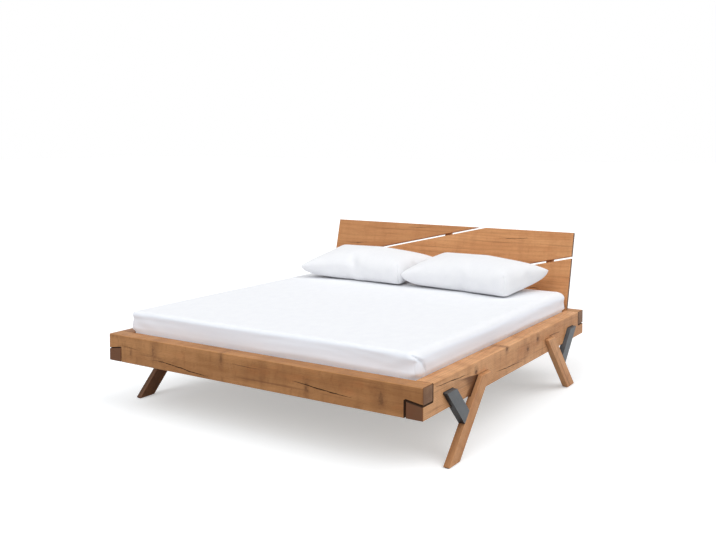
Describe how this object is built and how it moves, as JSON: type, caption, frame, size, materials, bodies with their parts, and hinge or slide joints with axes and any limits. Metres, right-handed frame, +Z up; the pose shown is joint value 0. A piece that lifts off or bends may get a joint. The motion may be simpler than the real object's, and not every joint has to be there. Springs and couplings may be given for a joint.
{
  "type": "wooden bed",
  "caption": "Low double bed of solid timber beams with half dovetail corner laps, slanting plank legs and dark braces, leaning split headboard, slatted bases, mattress and pillows.",
  "frame": {"origin": "middle of the whole bed's outline, on the floor", "axes": "+X to the right seen from the foot, +Y from foot to head, +Z up"},
  "size_m": [2.044, 2.3232, 0.9208],
  "materials": {
    "oak_beam": "oiled, open grain with checks and knots",
    "oak_leg": "oiled",
    "oak_board": "oiled",
    "oak_batten": "oiled, in shade",
    "brace_paint": "dark grey powder coat, fine texture",
    "pine_bearer": "planed, unfinished",
    "pine_base": "planed, unfinished",
    "birch_slat": "sanded",
    "slat_rubber": "matt",
    "felt_glide": "felt",
    "mattress_ticking": "woven ticking",
    "sheet_cotton": "smooth cotton",
    "pillow_cotton": "smooth cotton",
    "hanger_steel": "zinc plated sheet",
    "zinc_steel": "zinc plated"
  },
  "bodies": {
    "frame": {"batten_lock_bolts": "zinc_steel", "batten_lock_inserts": "zinc_steel", "batten_lock_washers": "zinc_steel", "batten_screws": "zinc_steel", "brace_bolts": "zinc_steel", "brace_front_left": "brace_paint", "brace_front_right": "brace_paint", "brace_nuts": "zinc_steel", "brace_rear_left": "brace_paint", "brace_rear_right": "brace_paint", "brace_washers": "zinc_steel", "centre_beam": "pine_bearer", "centre_beam_hangers": "hanger_steel", "centre_foot_insert": "zinc_steel", "centre_post": "pine_bearer", "centre_post_screws": "zinc_steel", "corner_bolts": "zinc_steel", "corner_inserts": "zinc_steel", "corner_washers": "zinc_steel", "foot_beam": "oak_beam", "foot_glides": "felt_glide", "hanger_screws": "zinc_steel", "head_beam": "oak_beam", "headboard_left_batten": "oak_batten", "headboard_lower_board": "oak_board", "headboard_middle_batten": "oak_batten", "headboard_middle_board": "oak_board", "headboard_right_batten": "oak_batten", "headboard_upper_board": "oak_board", "ledger_screws": "zinc_steel", "left_base_end_rails": "pine_base", "left_base_slat_pads": "slat_rubber", "left_base_slats": "birch_slat", "left_base_stiles": "pine_base", "left_ledger": "pine_bearer", "left_rail": "oak_beam", "leg_bolts": "zinc_steel", "leg_front_left": "oak_leg", "leg_front_right": "oak_leg", "leg_inserts": "zinc_steel", "leg_rear_left": "oak_leg", "leg_rear_right": "oak_leg", "leg_washers": "zinc_steel", "right_base_end_rails": "pine_base", "right_base_slat_pads": "slat_rubber", "right_base_slats": "birch_slat", "right_base_stiles": "pine_base", "right_ledger": "pine_bearer", "right_rail": "oak_beam"},
    "mattress": {"mattress": "mattress_ticking", "fitted_sheet": "sheet_cotton"},
    "pillow_left": {"pillow_left": "pillow_cotton"},
    "pillow_right": {"pillow_right": "pillow_cotton"},
    "centre_foot": {"centre_foot": "zinc_steel"}
  },
  "joints": [
    {"name": "mattress_lift", "type": "slide", "parent": "frame", "child": "mattress", "axis": [0, 0, 1], "range_m": [0, 0.3]},
    {"name": "pillow_left_lift", "type": "slide", "parent": "mattress", "child": "pillow_left", "axis": [0, 0, 1], "range_m": [0, 0.25]},
    {"name": "pillow_right_lift", "type": "slide", "parent": "mattress", "child": "pillow_right", "axis": [0, 0, 1], "range_m": [0, 0.25]},
    {"name": "centre_foot_adjust", "type": "slide", "parent": "frame", "child": "centre_foot", "axis": [0, 0, 1], "range_m": [0, 0.015]}
  ]
}
